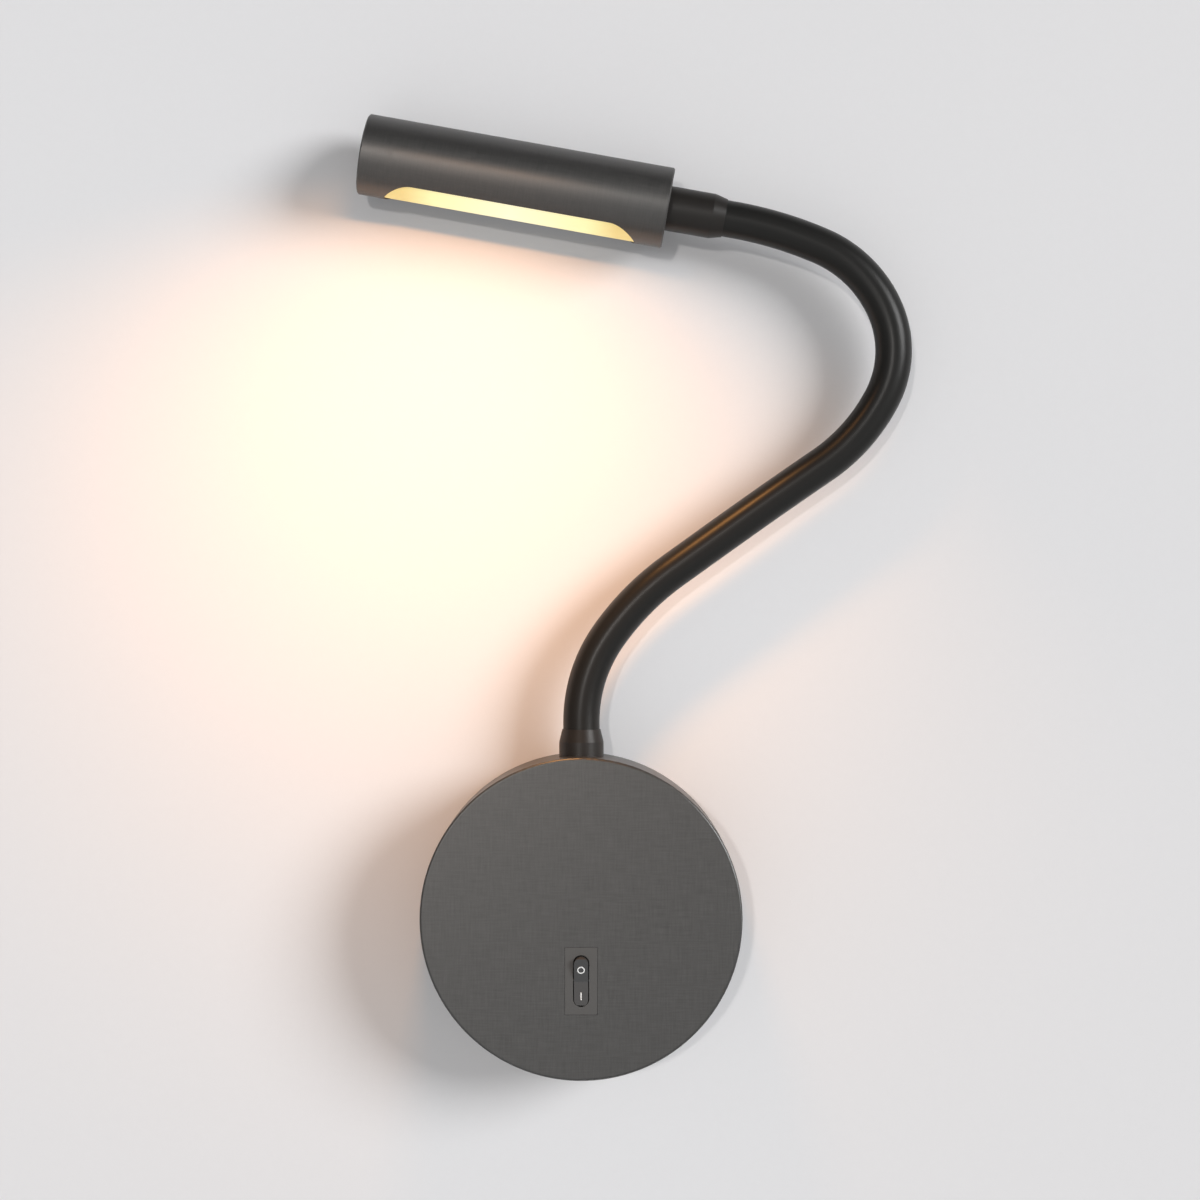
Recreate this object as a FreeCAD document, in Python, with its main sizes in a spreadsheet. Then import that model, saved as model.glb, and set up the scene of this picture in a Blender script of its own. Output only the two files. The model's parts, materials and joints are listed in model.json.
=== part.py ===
import FreeCAD, Part
import math
import os
import Sketcher
from FreeCAD import Placement, Rotation, Vector

# Wall sconce: a round base on the wall, a bendable neck that rises from its rim,
# and a tubular lamp head with an obround light window on its underside.
# Millimetres. The origin is the centre of the base's back, on the wall.
# +Z is up, +X is right as seen from the room, and the front faces -Y.

document = FreeCAD.newDocument("wall_sconce")
sheet = document.addObject("Spreadsheet::Sheet", "Sizes")


class Size:
    """A value together with the expression that gives it from the sheet."""

    def __init__(self, value, text):
        self.value = float(value)
        self.text = text

    def __float__(self):
        return self.value

    def __add__(self, other):
        other = as_size(other)
        return Size(self.value + other.value, f"({self.text} + {other.text})")

    def __sub__(self, other):
        other = as_size(other)
        return Size(self.value - other.value, f"({self.text} - {other.text})")

    def __mul__(self, other):
        other = as_size(other)
        return Size(self.value * other.value, f"{self.text} * {other.text}")

    def __truediv__(self, other):
        other = as_size(other)
        return Size(self.value / other.value, f"{self.text} / ({other.text})")

    def __neg__(self):
        return Size(-self.value, f"(-1 * {self.text})")


def as_size(number):
    return number if isinstance(number, Size) else Size(number, repr(float(number)))


def sine(angle):
    return Size(math.sin(math.radians(angle.value)), f"sin({angle.text})")


def cosine(angle):
    return Size(math.cos(math.radians(angle.value)), f"cos({angle.text})")


def root(square):
    return Size(math.sqrt(square.value), f"sqrt({square.text})")


def size(alias, value):
    """Writes one driving dimension into the sheet and gives it back as a Size."""
    size.row += 1
    cell = f"A{size.row}"
    sheet.set(cell, str(value))
    sheet.setAlias(cell, alias)
    return Size(value, f"Sizes.{alias}")


size.row = 0
ZERO = as_size(0)

# Driving dimensions: running fits and gaps
shaft_gap = size("shaft_gap", 0.05)
seat_gap = size("seat_gap", 0.1)
moving_gap = size("moving_gap", 0.3)
overrun = size("overrun", 1.0)

# Driving dimensions: base cover
base_diameter = size("base_diameter", 100.0)
base_depth = size("base_depth", 28.0)
cover_front_wall = size("cover_front_wall", 2.0)
cover_side_wall = size("cover_side_wall", 1.5)
cover_edge_radius = size("cover_edge_radius", 0.8)

# Driving dimensions: wall bracket and its screws
bracket_thickness = size("bracket_thickness", 1.5)
bracket_side_gap = size("bracket_side_gap", 0.5)
ear_width = size("ear_width", 12.0)
ear_height = size("ear_height", 13.0)
screw_spacing = size("screw_spacing", 60.0)
slot_length = size("slot_length", 10.0)
slot_width = size("slot_width", 4.5)
grub_diameter = size("grub_diameter", 4.0)
grub_height = size("grub_height", 8.0)
grub_socket_across = size("grub_socket_across", 2.0)

# Driving dimensions: cable grommet
grommet_bore = size("grommet_bore", 7.0)
grommet_wall = size("grommet_wall", 2.0)
grommet_flange = size("grommet_flange", 2.0)

# Driving dimensions: rocker switch
switch_drop = size("switch_drop", 19.0)
bezel_width = size("bezel_width", 10.0)
bezel_height = size("bezel_height", 20.8)
bezel_thickness = size("bezel_thickness", 1.2)
bezel_ledge = size("bezel_ledge", 0.7)
switch_depth = size("switch_depth", 14.0)
lug_catch = size("lug_catch", 0.6)
lug_length = size("lug_length", 3.2)
lug_width = size("lug_width", 4.0)
rocker_length = size("rocker_length", 15.4)
rocker_width = size("rocker_width", 4.4)
rocker_throw = size("rocker_throw", 14.0)
rocker_keel = size("rocker_keel", 2.2)
pivot_depth = size("pivot_depth", 1.5)
pivot_diameter = size("pivot_diameter", 1.6)
pivot_reach = size("pivot_reach", 0.9)
terminal_width = size("terminal_width", 4.8)
terminal_thickness = size("terminal_thickness", 0.8)
terminal_length = size("terminal_length", 6.3)
terminal_spacing = size("terminal_spacing", 12.0)
terminal_hole = size("terminal_hole", 1.6)

# Driving dimensions: light driver and terminal block behind the cover
driver_side_gap = size("driver_side_gap", 7.86)
driver_height = size("driver_height", 25.0)
driver_depth = size("driver_depth", 18.0)
driver_rise = size("driver_rise", 8.0)
driver_corner = size("driver_corner", 1.5)
driver_ear = size("driver_ear", 7.0)
driver_ear_thickness = size("driver_ear_thickness", 2.0)
board_screw_diameter = size("board_screw_diameter", 3.0)
board_screw_head = size("board_screw_head", 5.6)
board_screw_head_height = size("board_screw_head_height", 2.0)
block_length = size("block_length", 20.0)
block_height = size("block_height", 10.0)
block_depth = size("block_depth", 12.0)
block_edge_gap = size("block_edge_gap", 1.8)
block_across_share = size("block_across_share", 0.728)
block_down_share = size("block_down_share", 0.685)
block_poles_pitch = size("block_poles_pitch", 12.0)
block_port = size("block_port", 3.4)
block_screw_diameter = size("block_screw_diameter", 3.0)
lead_bend = size("lead_bend", 2.5)
lead_spacing = size("lead_spacing", 3.0)

# Driving dimensions: neck
sleeve_diameter = size("sleeve_diameter", 11.5)
core_diameter = size("core_diameter", 8.9)
core_bore = size("core_bore", 5.6)
lead_diameter = size("lead_diameter", 1.6)
link_length = size("link_length", 28.8)
root_reach = size("root_reach", 2.4)
tip_reach = size("tip_reach", 3.0)
link_turns = [
    size("turn_lower_start", -35.2),
    size("turn_lower_end", -19.0),
    size("turn_straight_start", -0.4),
    size("turn_straight_end", -1.2),
    size("turn_upper_start", 28.5),
    size("turn_upper_crest", 51.2),
    size("turn_upper_top", 42.7),
    size("turn_upper_end", 13.3),
]

# Driving dimensions: ferrules and the threaded nipples inside them
ferrule_diameter = size("ferrule_diameter", 14.0)
ferrule_taper = size("ferrule_taper", 4.0)
ferrule_lip = size("ferrule_lip", 0.2)
lower_ferrule_length = size("lower_ferrule_length", 8.2)
upper_ferrule_length = size("upper_ferrule_length", 18.0)
lower_seat = size("lower_seat", 3.5)
upper_seat = size("upper_seat", 7.5)
nipple_diameter = size("nipple_diameter", 8.0)
nipple_bore = size("nipple_bore", 5.2)
nut_across = size("nut_across", 11.0)
nut_thickness = size("nut_thickness", 3.0)
nipple_end = size("nipple_end", 1.0)
washer_diameter = size("washer_diameter", 12.0)
washer_thickness = size("washer_thickness", 1.0)

# Driving dimensions: lamp head
head_diameter = size("head_diameter", 25.3)
head_length = size("head_length", 97.3)
head_wall = size("head_wall", 1.2)
cap_thickness = size("cap_thickness", 2.0)
cap_chamfer = size("cap_chamfer", 0.4)
cap_spigot = size("cap_spigot", 2.5)
cap_spigot_wall = size("cap_spigot_wall", 1.5)
window_margin = size("window_margin", 8.65)
window_width = size("window_width", 17.6)
diffuser_wall = size("diffuser_wall", 1.5)
diffuser_recess = size("diffuser_recess", 0.45)
carrier_end_gap = size("carrier_end_gap", 0.65)
carrier_chord = size("carrier_chord", 2.2)
carrier_fin = size("carrier_fin", 1.4)
board_width = size("board_width", 12.0)
board_thickness = size("board_thickness", 1.2)
chip_length = size("chip_length", 3.5)
chip_width = size("chip_width", 2.8)
chip_height = size("chip_height", 0.7)
chip_margin = size("chip_margin", 6.25)
chip_count = 12

# Places that several pieces share
neck_depth = base_depth / 2
cover_inner_radius = base_diameter / 2 - cover_side_wall
joint_rise = base_diameter / 2 + lower_ferrule_length + root_reach
sleeve_radius = sleeve_diameter / 2
dish_radius = sleeve_radius + moving_gap
sleeve_bore = core_diameter + shaft_gap * 2
bezel_gap_width = bezel_width + seat_gap * 2
bezel_gap_height = bezel_height + seat_gap * 2
cover_plate_back = base_depth - cover_front_wall
head_start = tip_reach + upper_ferrule_length
head_inner_radius = head_diameter / 2 - head_wall
lead_place = (nipple_bore - lead_diameter) / 2 - seat_gap
window_length = head_length - window_margin * 2
diffuser_length = head_length - (cap_thickness + cap_spigot + moving_gap) * 2
carrier_length = head_length - (cap_thickness + nut_thickness + nipple_end + carrier_end_gap) * 2
chip_pitch = (carrier_length - chip_margin * 2) / (chip_count - 1)
bracket_radius = cover_inner_radius - bracket_side_gap
driver_top = driver_rise + driver_height
driver_chord = root(bracket_radius * bracket_radius - driver_top * driver_top)
driver_length = (driver_chord - driver_side_gap) * 2
block_corner = cover_inner_radius - block_edge_gap
block_offset = block_corner * block_across_share - block_length / 2
block_drop = block_corner * block_down_share - block_height / 2


def named(kind, label):
    thing = document.addObject(kind, label)
    thing.Label = label
    return thing


def bind(thing, **sizes):
    """Ties properties to the sheet; x, y and z stand for the placement's base."""
    for name, value in sizes.items():
        target = f"Placement.Base.{name}" if name in ("x", "y", "z") else name
        thing.setExpression(target, as_size(value).text)
    return thing


def sketch_on(body, role, offset=ZERO):
    planes = {feature.Role: feature for feature in body.Origin.OriginFeatures}
    sketch = body.newObject("Sketcher::SketchObject", f"{body.Label}_sketch")
    sketch.AttachmentSupport = (planes[role], [""])
    sketch.MapMode = "FlatFace"
    sketch.setExpression("AttachmentOffset.Base.z", as_size(offset).text)
    return sketch


def measure(sketch, kind, elements, value):
    value = as_size(value)
    index = sketch.addConstraint(Sketcher.Constraint(kind, *elements, value.value))
    sketch.setExpression(f"Constraints[{index}]", value.text)


def locate(sketch, geometry, point, across, up):
    measure(sketch, "DistanceX", (-1, 1, geometry, point), across)
    measure(sketch, "DistanceY", (-1, 1, geometry, point), up)


def draw_circle(sketch, across, up, diameter):
    centre = Vector(float(across), float(up), 0)
    circle = Part.Circle(centre, Vector(0, 0, 1), float(diameter) / 2)
    index = sketch.addGeometry(circle, False)
    measure(sketch, "Diameter", (index,), diameter)
    locate(sketch, index, 3, across, up)


def draw_outline(sketch, points):
    corners = [(as_size(across), as_size(up)) for across, up in points]
    first = sketch.GeometryCount
    for (x1, y1), (x2, y2) in zip(corners, corners[1:] + corners[:1]):
        line = Part.LineSegment(Vector(float(x1), float(y1), 0), Vector(float(x2), float(y2), 0))
        sketch.addGeometry(line, False)
    for step, (across, up) in enumerate(corners):
        previous = first + (step - 1) % len(corners)
        sketch.addConstraint(Sketcher.Constraint("Coincident", previous, 2, first + step, 1))
        locate(sketch, first + step, 1, across, up)


def draw_rectangle(sketch, across, up, width, height):
    left, right = across - width / 2, across + width / 2
    low, high = up - height / 2, up + height / 2
    draw_outline(sketch, [(left, low), (right, low), (right, high), (left, high)])


def draw_obround(sketch, across, up, length, width, upright=False):
    """Two half circles and two straight sides, along the first or the second axis."""
    half = (length - width) / 2
    radius = width / 2
    turn = 1 if upright else 0
    first = sketch.GeometryCount
    ends = []
    for side in (1, -1):
        shift = half * side
        x = across if upright else across + shift
        y = up + shift if upright else up
        start = math.pi / 2 * (turn - side)
        circle = Part.Circle(Vector(float(x), float(y), 0), Vector(0, 0, 1), float(radius))
        arc = Part.ArcOfCircle(circle, start, start + math.pi)
        index = sketch.addGeometry(arc, False)
        locate(sketch, index, 3, x, y)
        measure(sketch, "Radius", (index,), radius)
        edge = "DistanceY" if upright else "DistanceX"
        level = y if upright else x
        measure(sketch, edge, (-1, 1, index, 1), level)
        measure(sketch, edge, (-1, 1, index, 2), level)
        ends.append((arc.StartPoint, arc.EndPoint))
    for here, there in ((0, 1), (1, 0)):
        index = sketch.addGeometry(Part.LineSegment(ends[here][1], ends[there][0]), False)
        sketch.addConstraint(Sketcher.Constraint("Coincident", first + here, 2, index, 1))
        sketch.addConstraint(Sketcher.Constraint("Coincident", index, 2, first + there, 1))


def pad(body, sketch, length, both_ways=False, backwards=False):
    feature = body.newObject("PartDesign::Pad", f"{body.Label}_pad")
    feature.Profile = sketch
    feature.Midplane = both_ways
    feature.Reversed = backwards
    return bind(feature, Length=length)


def pocket(body, sketch, length, both_ways=False, backwards=False):
    feature = body.newObject("PartDesign::Pocket", f"{body.Label}_pocket")
    feature.Profile = sketch
    feature.Midplane = both_ways
    feature.Reversed = backwards
    return bind(feature, Length=length)


def revolve(body, sketch, axis, kind="Revolution"):
    feature = body.newObject(f"PartDesign::{kind}", f"{body.Label}_turned")
    feature.Profile = sketch
    feature.ReferenceAxis = (sketch, [axis])
    return feature


def dress(body, kind, chosen, amount):
    """Adds a fillet or chamfer on the edges of the tip that the test chooses."""
    document.recompute()
    base = body.Tip
    edges = [f"Edge{number}" for number, edge in enumerate(base.Shape.Edges, 1) if chosen(edge)]
    feature = body.newObject(f"PartDesign::{kind}", f"{body.Label}_{kind.lower()}")
    feature.Base = (base, edges)
    return bind(feature, **{"Radius" if kind == "Fillet" else "Size": amount})


def near(first, second):
    return abs(first - second) < 1e-3


def new_body(label, placement=None):
    body = named("PartDesign::Body", label)
    if placement is not None:
        body.Placement = placement
    return body


def combine(kind, label, shapes):
    whole = named(f"Part::{kind}", label)
    if kind == "Cut":
        whole.Base, whole.Tool = shapes
    elif kind == "Compound":
        whole.Links = shapes
    else:
        whole.Shapes = shapes
    return whole


def aimed(point, direction):
    """A frame whose X runs along a direction in the plane of the neck, in degrees."""
    return Placement(point, Rotation(Vector(0, 1, 0), -direction))


def neck_route():
    """Frames of the neck's joints, from the one above the base to the one at the head."""
    point = Vector(0, -float(neck_depth), float(joint_rise))
    direction = 90.0
    frames = [aimed(point, direction)]
    for turn in link_turns:
        radius = float(link_length) / math.radians(float(turn))
        step = Vector(radius * math.sin(math.radians(float(turn))), 0,
                      radius * (1 - math.cos(math.radians(float(turn)))))
        point = frames[-1].multVec(step)
        direction += float(turn)
        frames.append(aimed(point, direction))
    return frames


joints = neck_route()
root_frame, tip_frame = joints[0], joints[-1]
parts = {}


def keep(node, thing):
    thing.Label = node
    parts[node] = thing
    return thing


# Base: cover, bracket, grommet and grub screws


def make_base_cover():
    body = new_body("base_cover")
    profile = sketch_on(body, "XY_Plane")
    draw_outline(profile, [
        (ZERO, -base_depth),
        (base_diameter / 2, -base_depth),
        (base_diameter / 2, ZERO),
        (cover_inner_radius, ZERO),
        (cover_inner_radius, -cover_plate_back),
        (ZERO, -cover_plate_back),
    ])
    revolve(body, profile, "V_Axis")
    dress(body, "Fillet", lambda edge: near(edge.BoundBox.YMax, -float(base_depth)), cover_edge_radius)
    recess = sketch_on(body, "XZ_Plane", base_depth)
    draw_rectangle(recess, ZERO, -switch_drop, bezel_gap_width, bezel_gap_height)
    pocket(body, recess, bezel_thickness)
    opening = sketch_on(body, "XZ_Plane", base_depth)
    draw_rectangle(opening, ZERO, -switch_drop, bezel_gap_width - bezel_ledge * 2,
                   bezel_gap_height - bezel_ledge * 2)
    pocket(body, opening, cover_front_wall + overrun)
    neck_hole = sketch_on(body, "XY_Plane")
    draw_circle(neck_hole, ZERO, -neck_depth, nipple_diameter + seat_gap * 2)
    pocket(body, neck_hole, base_diameter / 2 + overrun, backwards=True)
    grub_holes = sketch_on(body, "YZ_Plane")
    draw_circle(grub_holes, -grub_height, ZERO, grub_diameter + seat_gap * 2)
    pocket(body, grub_holes, base_diameter + overrun, both_ways=True)
    keep("base_cover", body)


def make_wall_bracket():
    body = new_body("wall_bracket")
    plate = sketch_on(body, "XZ_Plane")
    draw_circle(plate, ZERO, ZERO, bracket_radius * 2)
    pad(body, plate, bracket_thickness)
    ear_face = root(bracket_radius * bracket_radius - ear_width * ear_width / 4)
    for side in (1, -1):
        ear = sketch_on(body, "XZ_Plane")
        draw_rectangle(ear, (ear_face - bracket_thickness / 2) * side, ZERO, bracket_thickness, ear_width)
        pad(body, ear, ear_height)
    slots = sketch_on(body, "XZ_Plane")
    for side in (1, -1):
        draw_obround(slots, screw_spacing / 2 * side, ZERO, slot_length, slot_width)
    draw_circle(slots, ZERO, ZERO, grommet_bore + grommet_wall * 2)
    pocket(body, slots, bracket_thickness + overrun, backwards=True)
    screw_holes = sketch_on(body, "XZ_Plane")
    screw_hole = board_screw_diameter + shaft_gap * 2
    for side in (1, -1):
        draw_circle(screw_holes, driver_screw_place() * side, driver_middle(), screw_hole)
    draw_circle(screw_holes, block_offset, -block_drop, screw_hole)
    pocket(body, screw_holes, bracket_thickness + overrun, backwards=True)
    grub_holes = sketch_on(body, "YZ_Plane")
    draw_circle(grub_holes, -grub_height, ZERO, grub_diameter + shaft_gap * 2)
    pocket(body, grub_holes, base_diameter, both_ways=True)
    keep("wall_bracket", body)


def make_cable_grommet():
    body = new_body("cable_grommet")
    outer = grommet_bore / 2 + grommet_wall
    profile = sketch_on(body, "XY_Plane")
    draw_outline(profile, [
        (grommet_bore / 2, ZERO),
        (outer - shaft_gap, ZERO),
        (outer - shaft_gap, -bracket_thickness),
        (outer + grommet_flange, -bracket_thickness),
        (outer + grommet_flange, -bracket_thickness * 2),
        (grommet_bore / 2, -bracket_thickness * 2),
    ])
    revolve(body, profile, "V_Axis")
    keep("cable_grommet", body)


def make_grub_screws():
    length = base_diameter / 2 - bracket_radius + bracket_thickness * 2
    screws = []
    for side in (1, -1):
        body = new_body(f"grub_screw_{side + 2}")
        face = sketch_on(body, "YZ_Plane", (base_diameter / 2 - cover_edge_radius) * side)
        draw_circle(face, -grub_height, ZERO, grub_diameter)
        pad(body, face, length, backwards=side == 1)
        socket = sketch_on(body, "YZ_Plane", (base_diameter / 2 - cover_edge_radius) * side)
        draw_hexagon(socket, -grub_height, ZERO, grub_socket_across)
        pocket(body, socket, grub_diameter / 2, backwards=side == -1)
        screws.append(body)
    keep("cover_grub_screws", combine("Compound", "cover_grub_screws", screws))


def draw_hexagon(sketch, across, up, flats):
    corner = flats / math.sqrt(3)
    points = []
    for step in range(6):
        angle = math.radians(60 * step)
        points.append((across + corner * math.cos(angle), up + corner * math.sin(angle)))
    draw_outline(sketch, points)


# Switch: housing with its bezel, rocker and terminals


def make_switch_housing():
    body = new_body("switch_housing")
    bezel = sketch_on(body, "XZ_Plane", base_depth)
    draw_rectangle(bezel, ZERO, -switch_drop, bezel_width, bezel_height)
    pad(body, bezel, bezel_thickness, backwards=True)
    block = sketch_on(body, "XZ_Plane", base_depth - bezel_thickness)
    block_tall = bezel_gap_height - bezel_ledge * 2 - seat_gap * 2
    draw_rectangle(block, ZERO, -switch_drop, bezel_gap_width - bezel_ledge * 2 - seat_gap * 2, block_tall)
    pad(body, block, switch_depth - bezel_thickness, backwards=True)
    for side in (1, -1):
        lug = sketch_on(body, "YZ_Plane")
        catch = -(cover_plate_back - seat_gap)
        level = -switch_drop + block_tall / 2 * side
        draw_outline(lug, [
            (catch, level - lug_catch * side),
            (catch, level + lug_catch * side),
            (catch + lug_length, level),
            (catch + lug_length, level - lug_catch * side),
        ])
        pad(body, lug, lug_width, both_ways=True)
    well = sketch_on(body, "XZ_Plane", base_depth)
    draw_obround(well, ZERO, -switch_drop, rocker_length + moving_gap * 2,
                 rocker_width + moving_gap * 2, upright=True)
    pocket(body, well, rocker_well_depth())
    pivot = sketch_on(body, "YZ_Plane")
    draw_circle(pivot, -(base_depth - pivot_depth), -switch_drop, pivot_diameter + shaft_gap * 2)
    pocket(body, pivot, rocker_width + (pivot_reach + seat_gap) * 2, both_ways=True)
    keep("switch_housing", body)


def rocker_well_depth():
    return pivot_depth + rocker_keel + rocker_length / 2 * sine(rocker_throw) + moving_gap


def make_rocker():
    """Drawn level about its pivot, then tipped by half its throw with the lower end in."""
    wedge = new_body("rocker_wedge")
    side_view = sketch_on(wedge, "YZ_Plane")
    half_throw = rocker_throw / 2
    reach = rocker_length / 2
    crown = pivot_depth / cosine(half_throw)
    rise = reach * sine(half_throw) / cosine(half_throw)
    draw_outline(side_view, [
        (-crown, ZERO),
        (-crown - rise, reach),
        (rocker_keel / 2, reach),
        (rocker_keel, reach / 2),
        (rocker_keel, -reach / 2),
        (rocker_keel / 2, -reach),
        (-crown - rise, -reach),
    ])
    pad(wedge, side_view, rocker_width, both_ways=True)
    plan = new_body("rocker_plan")
    face = sketch_on(plan, "XZ_Plane")
    draw_obround(face, ZERO, ZERO, rocker_length, rocker_width, upright=True)
    pad(plan, face, rocker_length, both_ways=True)
    sweep = new_body("rocker_sweep")
    swing = sketch_on(sweep, "YZ_Plane")
    draw_circle(swing, ZERO, ZERO, rocker_length)
    pad(sweep, swing, rocker_width + overrun, both_ways=True)
    button = combine("MultiCommon", "rocker_button", [wedge, plan, sweep])
    pin = new_body("rocker_pin")
    pin_end = sketch_on(pin, "YZ_Plane")
    draw_circle(pin_end, ZERO, ZERO, pivot_diameter)
    pad(pin, pin_end, rocker_width + pivot_reach * 2, both_ways=True)
    whole = combine("MultiFuse", "rocker", [button, pin])
    place = Vector(0, -float(base_depth - pivot_depth), -float(switch_drop))
    whole.Placement = Placement(place, Rotation(Vector(1, 0, 0), float(half_throw)))
    keep("rocker", whole)


def make_switch_terminals():
    blades = []
    for side in (1, -1):
        body = new_body(f"terminal_blade_{side + 2}")
        face = sketch_on(body, "XZ_Plane", base_depth - switch_depth)
        level = -switch_drop + terminal_spacing / 2 * side
        draw_rectangle(face, ZERO, level, terminal_width, terminal_thickness)
        pad(body, face, terminal_length, backwards=True)
        eye = sketch_on(body, "XY_Plane", level)
        draw_circle(eye, ZERO, -(base_depth - switch_depth - terminal_length / 2), terminal_hole)
        pocket(body, eye, terminal_width, both_ways=True)
        blades.append(body)
    keep("switch_terminals", combine("Compound", "switch_terminals", blades))


# Driver, terminal block, their screws and the leads in the base


def driver_middle():
    return driver_rise + driver_height / 2


def driver_screw_place():
    return driver_length / 2 + driver_ear / 2


def make_led_driver():
    body = new_body("led_driver")
    ears = sketch_on(body, "XZ_Plane", bracket_thickness)
    draw_rectangle(ears, ZERO, driver_middle(), driver_length + driver_ear * 2, board_screw_head * 2)
    pad(body, ears, driver_ear_thickness)
    case = sketch_on(body, "XZ_Plane", bracket_thickness)
    draw_rectangle(case, ZERO, driver_middle(), driver_length, driver_height)
    pad(body, case, driver_depth)
    front = -float(bracket_thickness + driver_depth)
    dress(body, "Fillet", lambda edge: near(edge.BoundBox.YMax, front), driver_corner)
    holes = sketch_on(body, "XZ_Plane", bracket_thickness)
    for side in (1, -1):
        draw_circle(holes, driver_screw_place() * side, driver_middle(), board_screw_diameter + seat_gap * 2)
    pocket(body, holes, driver_ear_thickness + overrun, backwards=True)
    keep("led_driver", body)


def pan_screw(label, across, up, seat, grip):
    """A pan-head screw that comes from the front, with its head on the seat."""
    body = new_body(label)
    shank = sketch_on(body, "XZ_Plane", seat - grip)
    draw_circle(shank, across, up, board_screw_diameter)
    pad(body, shank, grip)
    head = sketch_on(body, "XZ_Plane", seat)
    draw_circle(head, across, up, board_screw_head)
    pad(body, head, board_screw_head_height)
    return body


def make_driver_screws():
    seat = bracket_thickness + driver_ear_thickness
    screws = [pan_screw(f"driver_screw_{side + 2}", driver_screw_place() * side, driver_middle(), seat, seat)
              for side in (1, -1)]
    keep("driver_screws", combine("Compound", "driver_screws", screws))


def make_terminal_block():
    body = new_body("terminal_block")
    case = sketch_on(body, "XZ_Plane", bracket_thickness)
    draw_rectangle(case, block_offset, -block_drop, block_length, block_height)
    pad(body, case, block_depth)
    ports = sketch_on(body, "XY_Plane", -block_drop)
    middle = -(bracket_thickness + block_depth / 2)
    wells = sketch_on(body, "XZ_Plane", bracket_thickness + block_depth)
    for side in (1, -1):
        pole = block_offset + block_poles_pitch * side / 2
        draw_circle(ports, pole, middle, block_port)
        draw_circle(wells, pole, -block_drop, block_screw_diameter + seat_gap * 2)
    pocket(body, ports, block_height + overrun, both_ways=True)
    pocket(body, wells, block_depth / 2)
    fixing = sketch_on(body, "XZ_Plane", bracket_thickness + block_depth)
    draw_circle(fixing, block_offset, -block_drop, board_screw_head + seat_gap * 2)
    pocket(body, fixing, block_depth / 2)
    through = sketch_on(body, "XZ_Plane")
    draw_circle(through, block_offset, -block_drop, board_screw_diameter + seat_gap * 2)
    pocket(body, through, bracket_thickness + block_depth, backwards=True)
    keep("terminal_block", body)


def make_terminal_block_screws():
    seat = bracket_thickness + block_depth / 2
    screws = [pan_screw("block_fixing_screw", block_offset, -block_drop, seat, seat)]
    for side in (1, -1):
        body = new_body(f"clamp_screw_{side + 2}")
        top = sketch_on(body, "XZ_Plane", bracket_thickness + block_depth - seat_gap)
        pole = block_offset + block_poles_pitch * side / 2
        draw_circle(top, pole, -block_drop, block_screw_diameter)
        pad(body, top, block_depth / 2 - block_port / 2 - seat_gap * 2, backwards=True)
        slot = sketch_on(body, "XZ_Plane", bracket_thickness + block_depth - seat_gap)
        draw_rectangle(slot, pole, -block_drop, block_screw_diameter * 2, block_screw_diameter / 4)
        pocket(body, slot, block_screw_diameter / 4)
        screws.append(body)
    keep("terminal_block_screws", combine("Compound", "terminal_block_screws", screws))


def draw_route(sketch, corners):
    """Straight legs along the axes through the corners, joined by quarter bends."""
    legs = []
    for here, there in zip(corners, corners[1:]):
        across = float(there[0]) - float(here[0])
        up = float(there[1]) - float(here[1])
        legs.append((round(across / math.hypot(across, up)), round(up / math.hypot(across, up))))
    last = len(legs) - 1
    for number, (across, up) in enumerate(legs):
        start, end = corners[number], corners[number + 1]
        if number > 0:
            start = start[0] + lead_bend * across, start[1] + lead_bend * up
        if number < last:
            end = end[0] - lead_bend * across, end[1] - lead_bend * up
        ends = [Vector(float(place[0]), float(place[1]), 0) for place in (start, end)]
        index = sketch.addGeometry(Part.LineSegment(*ends), False)
        locate(sketch, index, 1, *start)
        locate(sketch, index, 2, *end)
    for number in range(last):
        (across, up), (next_across, next_up) = legs[number], legs[number + 1]
        corner = corners[number + 1]
        middle = Vector(float(corner[0] + lead_bend * (next_across - across)),
                        float(corner[1] + lead_bend * (next_up - up)), 0)
        leftwards = across * next_up - up * next_across > 0
        towards_start = math.atan2(-next_up, -next_across)
        towards_end = math.atan2(up, across)
        first, second = (towards_start, towards_end) if leftwards else (towards_end, towards_start)
        circle = Part.Circle(middle, Vector(0, 0, 1), float(lead_bend))
        index = sketch.addGeometry(Part.ArcOfCircle(circle, first, first + math.pi / 2), False)
        point_in, point_out = (1, 2) if leftwards else (2, 1)
        sketch.addConstraint(Sketcher.Constraint("Coincident", number, 2, index, point_in))
        sketch.addConstraint(Sketcher.Constraint("Coincident", number + 1, 1, index, point_out))
        measure(sketch, "Radius", (index,), lead_bend)


def bent_lead(label, depth, plane, place, offset, corners):
    """A lead in a plane in front of the wall, swept from its first corner along the route."""
    body = new_body(label)
    route = sketch_on(body, "XZ_Plane", depth)
    draw_route(route, corners)
    section = sketch_on(body, plane, offset)
    draw_circle(section, *place, lead_diameter)
    sweep = body.newObject("PartDesign::AdditivePipe", f"{label}_sweep")
    sweep.Profile = section
    sweep.Spine = (route, [f"Edge{number}" for number in range(1, len(corners) * 2 - 2)])
    return body


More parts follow.
